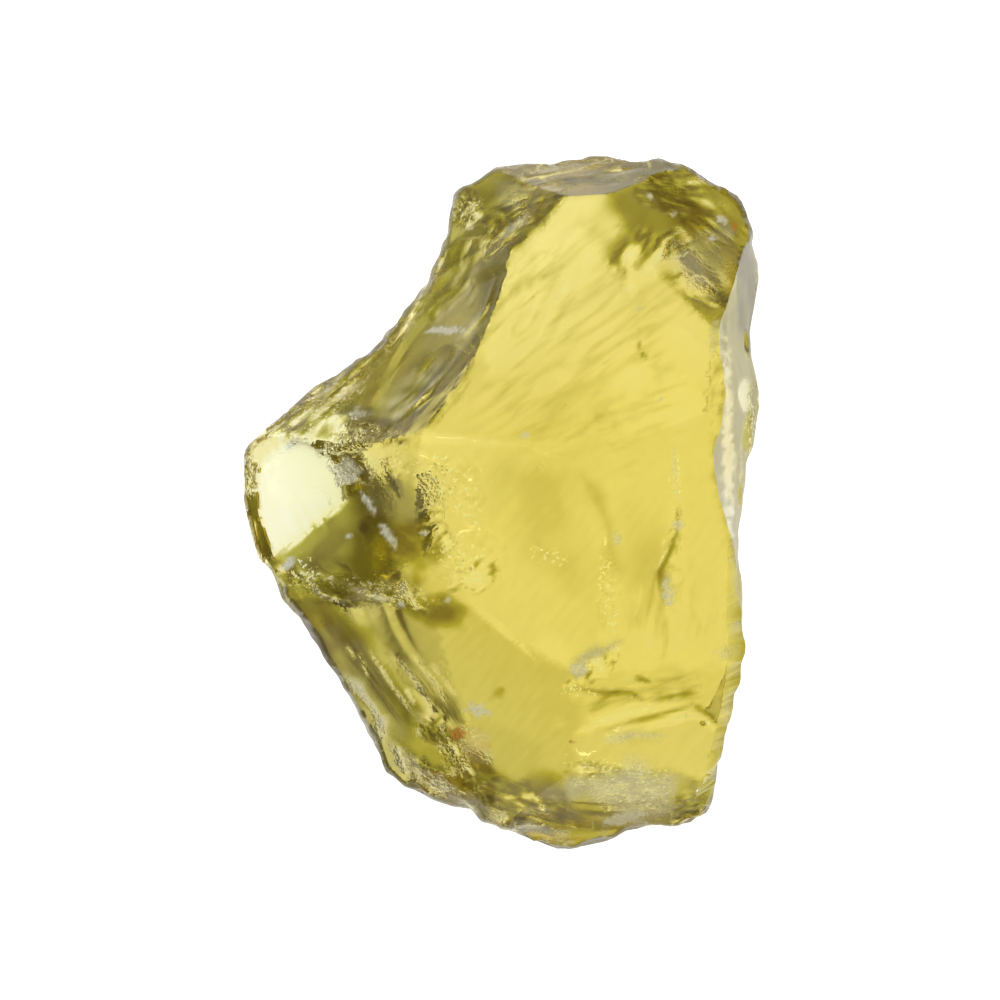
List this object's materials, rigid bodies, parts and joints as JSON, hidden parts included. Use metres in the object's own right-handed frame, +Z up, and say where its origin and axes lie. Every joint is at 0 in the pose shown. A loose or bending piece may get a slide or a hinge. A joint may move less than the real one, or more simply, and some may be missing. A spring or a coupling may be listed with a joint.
{
  "type": "raw lemon quartz chunk",
  "caption": "Rough broken chunk of clear yellow quartz with hollow, rippled fracture faces and chipped edges, lying on its flattest break.",
  "frame": {"origin": "centre of the bounding box in plan, at the level of the flat break it rests on", "axes": "+Y along the chunk's length towards its broad blunt end, +Z up, away from the resting face"},
  "size_m": [0.0295, 0.0398, 0.0148],
  "materials": {
    "lemon_quartz": "clear yellow quartz, glossy conchoidal fracture with frosted chips along the edges"
  },
  "bodies": {
    "root": {"quartz_chunk": "lemon_quartz"}
  },
  "joints": []
}
